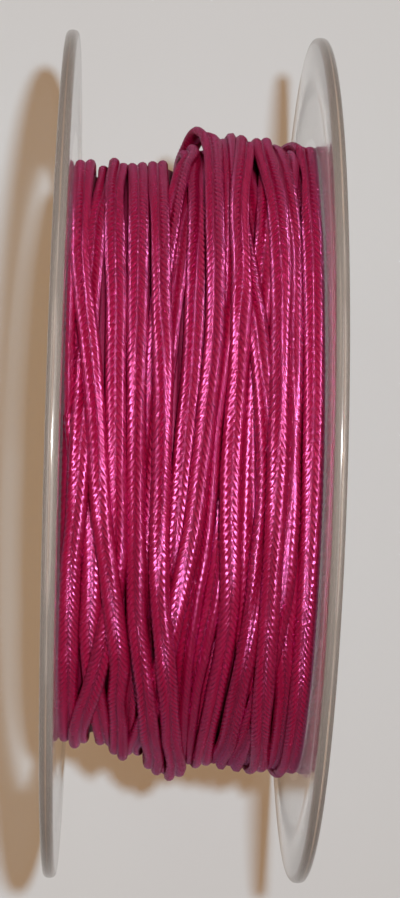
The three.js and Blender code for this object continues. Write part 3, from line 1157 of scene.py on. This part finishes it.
@dataclass
class Studio:
    """The floor, the soft light and the camera. Colours are linear.

    The floor glows faintly and warmly near the reel, which gives the shadows their brown. Farther off,
    it and the backdrop look paler to the camera than the light that they give.
    """

    camera: CameraPlan = field(default_factory=CameraPlan)
    lights: tuple[LightPlan, ...] = (
        LightPlan("key_light", (20.0, 25.0, REEL.axis_height + 380.0), 14.0, 1.5),
        LightPlan("soft_fill", (-420.0, 520.0, 700.0), 500.0, 0.7, (1.0, 0.8, 0.6)),
    )
    sky: tuple[float, float, float] = (0.05, 0.05 * 0.9, 0.05 * 0.8)
    floor_half: float = 2000.0
    floor_roughness: float = 0.7
    # Painted light: near the reel the floor's bluish colour stands in for the key light's cool colour.
    floor_colour_painted_cool: tuple[float, float, float] = (0.31, 0.43, 0.52)
    floor_glow: tuple[float, float, float] = (0.29, 0.17, 0.085)
    far_colour: tuple[float, float, float] = (0.2, 0.2, 0.2)
    far_glow: tuple[float, float, float] = (0.45, 0.44, 0.425)
    bounced_glow: tuple[float, float, float] = (0.24, 0.2, 0.17)
    near_reach: tuple[float, float] = (95.0, 200.0)

    def build(self) -> None:
        """Makes all of it."""
        self._floor()
        self._sky()
        for plan in self.lights:
            self._light(plan)
        self._camera()
        bpy.context.scene.view_settings.view_transform = "Standard"

    def _floor(self) -> None:
        half = self.floor_half * MM
        corners = [(-half, -half, 0), (half, -half, 0), (half, half, 0), (-half, half, 0)]
        mesh = bpy.data.meshes.new("floor")
        mesh.from_pydata(corners, [], [(0, 1, 2, 3)])
        material, tree, shader = new_material("pale_floor")
        place = tree.add("ShaderNodeNewGeometry").outputs["Position"]
        reach = tree.add("ShaderNodeVectorMath", {0: place}, operation="LENGTH").outputs["Value"]
        near, away = self.near_reach
        distance = tree.ranged(reach, near * MM, away * MM, 0.0, 1.0)
        tree.feed(shader.inputs["Base Color"], tree.blended(distance, self.floor_colour_painted_cool, self.far_colour))
        far_glow = tree.blended(tree.seen_straight(), self.bounced_glow, self.far_glow)
        tree.feed(shader.inputs["Emission Color"], tree.blended(distance, self.floor_glow, far_glow))
        tree.feed(shader.inputs["Roughness"], self.floor_roughness)
        tree.feed(shader.inputs["Emission Strength"], 1.0)
        mesh.materials.append(material)
        link(bpy.data.objects.new("floor", mesh))

    def _sky(self) -> None:
        world = bpy.data.worlds.new("soft_studio")
        world.use_nodes = True
        tree = Tree(world.node_tree)
        background = world.node_tree.nodes["Background"]
        seen = tree.blended(tree.seen_straight(), self.sky, self.far_glow)
        tree.feed(background.inputs["Color"], seen)
        bpy.context.scene.world = world

    def _light(self, plan: LightPlan) -> None:
        data = bpy.data.lights.new(plan.name, "AREA")
        data.shape = "DISK"
        data.size = plan.size * MM
        data.energy = plan.power
        data.color = plan.colour
        light = link(bpy.data.objects.new(plan.name, data))
        place = Vector(plan.place) * MM
        aim = Vector((0.0, 0.0, REEL.axis_height * MM)) - place
        light.location = place
        light.rotation_euler = aim.to_track_quat("-Z", "Y").to_euler()

    def _camera(self) -> None:
        plan = self.camera
        data = bpy.data.cameras.new("camera")
        data.sensor_width = plan.sensor
        data.lens = plan.focal_pixels / plan.frame_height * plan.sensor
        data.clip_start = 0.01
        data.clip_end = 10.0
        camera = link(bpy.data.objects.new("camera", data))
        back = (Vector(plan.place) - Vector(plan.target)).normalized()
        turn = math.radians(plan.tilt)
        level = Vector((math.cos(turn), math.sin(turn), 0.0))
        right = (level - back * level.dot(back)).normalized()
        upward = back.cross(right)
        camera.matrix_world = Matrix.Translation(Vector(plan.place) * MM) @ Matrix(
            (right, upward, back)
        ).transposed().to_4x4()
        bpy.context.scene.camera = camera


def main() -> None:
    """Builds the reel and its studio."""
    logging.basicConfig(level=logging.INFO, format="%(name)s: %(message)s")
    for obj in list(bpy.data.objects):
        bpy.data.objects.remove(obj)
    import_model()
    ReelModel(Finishes()).build()
    Studio().build()


if __name__ == "__main__":
    main()
